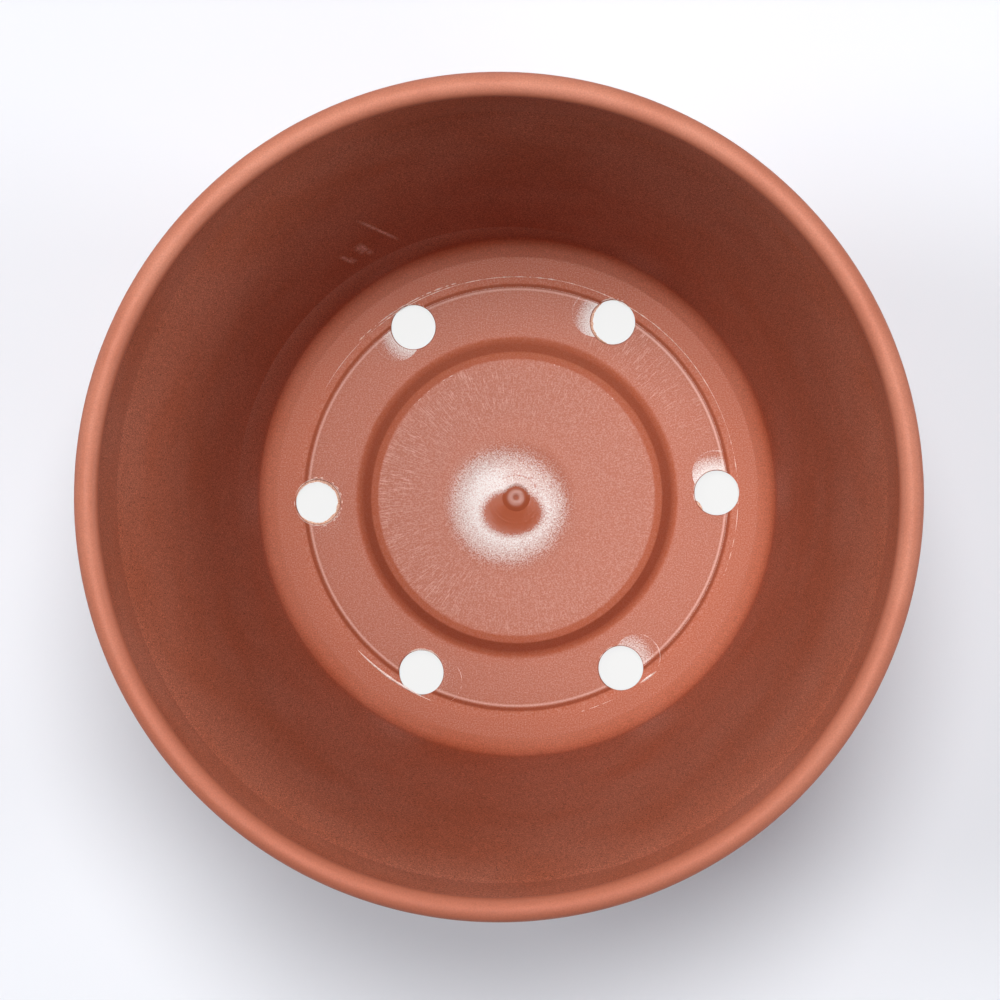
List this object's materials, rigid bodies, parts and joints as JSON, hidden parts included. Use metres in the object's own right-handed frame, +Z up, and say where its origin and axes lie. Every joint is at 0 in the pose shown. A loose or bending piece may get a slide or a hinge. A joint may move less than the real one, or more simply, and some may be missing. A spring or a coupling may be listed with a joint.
{
  "type": "plant pot",
  "caption": "Round tapered plastic plant pot, terracotta-coloured, with a rounded rim bead, an upright collar, a stepped floor and a ring of drain holes.",
  "frame": {"origin": "on the pot's axis, in the plane that the pot stands on", "axes": "+Z up along the pot's axis, towards the mouth; +X from the axis through the middle of a drain hole"},
  "size_m": [0.17, 0.17, 0.13],
  "materials": {
    "matte_wall_plastic": "fine matte moulded texture",
    "satin_plastic": "satin, as moulded",
    "polished_plastic": "polished around the gate"
  },
  "bodies": {
    "root": {"rim_bead": "satin_plastic", "collar": "matte_wall_plastic", "shoulder": "matte_wall_plastic", "side_wall": "matte_wall_plastic", "heel": "matte_wall_plastic", "foot_ring": "satin_plastic", "floor_shelf": "satin_plastic", "drain_ring": "satin_plastic", "floor_step": "satin_plastic", "centre_disc": "satin_plastic", "gate_dome": "polished_plastic", "gate_boss": "polished_plastic"}
  },
  "joints": []
}
